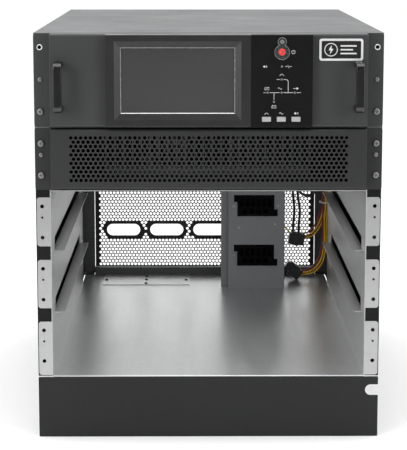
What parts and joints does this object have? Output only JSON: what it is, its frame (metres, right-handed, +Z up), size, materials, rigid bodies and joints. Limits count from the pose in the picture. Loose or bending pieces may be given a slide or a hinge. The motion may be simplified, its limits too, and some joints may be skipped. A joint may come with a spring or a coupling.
{
  "type": "rackmount ups",
  "caption": "Modular rack UPS cabinet: display module with pull handles, perforated bypass module, open power-module bays, connector bracket and perforated rear.",
  "frame": {"origin": "middle of the underside of the object's bounding box, handles and rear screws included", "axes": "+X to the right seen from the front, +Y to the rear, +Z up"},
  "size_m": [0.4826, 0.7518, 0.575],
  "materials": {
    "lid_paint": "satin",
    "dark_paint": "fine texture powder coat",
    "galvanised": "galvanised sheet",
    "black_mesh": "satin black powder coat",
    "bracket_grey": "satin",
    "connector_black": "moulded",
    "bezel_plastic": "fine texture",
    "overlay_black": "printed film",
    "screen": "glossy, switched off",
    "clear_cover": "clear polycarbonate",
    "stop_red": "gloss",
    "key_grey": "satin",
    "lamp": "frosted",
    "screw_steel": "zinc plated",
    "screw_black": "black oxide",
    "badge_silver": "satin",
    "badge_dark": "gloss",
    "handle_metal": "dark anodised",
    "heatsink": "extruded",
    "wire_yellow": "insulation",
    "wire_red": "insulation",
    "wire_black": "insulation",
    "nylon": "natural nylon",
    "fan_black": "moulded"
  },
  "bodies": {
    "cabinet": {"top_cover": "lid_paint", "left_side_panel": "dark_paint", "right_side_panel": "dark_paint", "left_inner_wall": "galvanised", "right_inner_wall": "galvanised", "bay_floor": "galvanised", "bypass_shelf": "galvanised", "display_shelf": "galvanised", "base_tray": "dark_paint", "bottom_panel": "dark_paint", "left_rear_post": "dark_paint", "right_rear_post": "dark_paint", "rear_post_feet": "dark_paint", "rear_bottom_rail": "dark_paint", "rear_mesh_panel": "black_mesh", "rear_upper_panel": "dark_paint", "card_slot_covers": "dark_paint", "rear_screws": "screw_black", "fan_frame_left": "fan_black", "fan_frame_right": "fan_black", "floor_plate": "galvanised", "floor_screws": "screw_black", "backplane_bracket": "bracket_grey", "power_connector_1": "connector_black", "power_connector_2": "connector_black", "power_connector_3": "connector_black", "connector_screws": "screw_steel", "harness_yellow_wires": "wire_yellow", "harness_red_wires": "wire_red", "harness_black_wires": "wire_black", "harness_bushing": "wire_black", "harness_connector_upper": "connector_black", "harness_connector_lower": "connector_black", "cable_tie": "nylon"},
    "fan_rotor_left": {"fan_rotor_left": "fan_black"},
    "fan_rotor_right": {"fan_rotor_right": "fan_black"},
    "bypass_button": {"bypass_button": "key_grey"},
    "inverter_button": {"inverter_button": "key_grey"},
    "mute_button": {"mute_button": "key_grey"},
    "stop_button": {"stop_button": "stop_red"},
    "stop_cover": {"stop_cover": "clear_cover"},
    "bypass_module": {"bypass_front_panel": "dark_paint", "bypass_case": "galvanised", "bypass_heatsink": "heatsink", "bypass_ear_screws": "screw_steel"},
    "display_module": {"display_front_panel": "dark_paint", "display_case": "galvanised", "display_bezel": "bezel_plastic", "display_glass": "screen", "control_overlay": "overlay_black", "status_lamps": "lamp", "stop_collar": "connector_black", "cover_pivot": "screw_steel", "badge_frame": "badge_silver", "badge_plate": "badge_dark", "left_handle": "handle_metal", "right_handle": "handle_metal", "handle_screws": "screw_steel", "display_ear_screws": "screw_steel"}
  },
  "joints": [
    {"name": "display_module_slide", "type": "slide", "parent": "cabinet", "child": "display_module", "axis": [0, -1, 0], "range_m": [0, 0.3]},
    {"name": "bypass_module_slide", "type": "slide", "parent": "cabinet", "child": "bypass_module", "axis": [0, -1, 0], "range_m": [0, 0.5]},
    {"name": "fan_left_spin", "type": "hinge", "parent": "cabinet", "child": "fan_rotor_left", "pos_m": [-0.07, 0.3601, 0.40005], "axis": [0, 1, 0], "continuous": true},
    {"name": "fan_right_spin", "type": "hinge", "parent": "cabinet", "child": "fan_rotor_right", "pos_m": [0.07, 0.3601, 0.40005], "axis": [0, 1, 0], "continuous": true},
    {"name": "stop_cover_swing", "type": "hinge", "parent": "display_module", "child": "stop_cover", "pos_m": [0.0994, -0.3589, 0.5649], "axis": [0, -1, 0], "range_deg": [-90, 90]},
    {"name": "stop_press", "type": "slide", "parent": "display_module", "child": "stop_button", "axis": [0, 1, 0], "range_m": [0, 0.0025], "stiffness_N_per_m": 500},
    {"name": "bypass_press", "type": "slide", "parent": "display_module", "child": "bypass_button", "axis": [0, 1, 0], "range_m": [0, 0.001], "stiffness_N_per_m": 300},
    {"name": "inverter_press", "type": "slide", "parent": "display_module", "child": "inverter_button", "axis": [0, 1, 0], "range_m": [0, 0.001], "stiffness_N_per_m": 300},
    {"name": "mute_press", "type": "slide", "parent": "display_module", "child": "mute_button", "axis": [0, 1, 0], "range_m": [0, 0.001], "stiffness_N_per_m": 300}
  ]
}
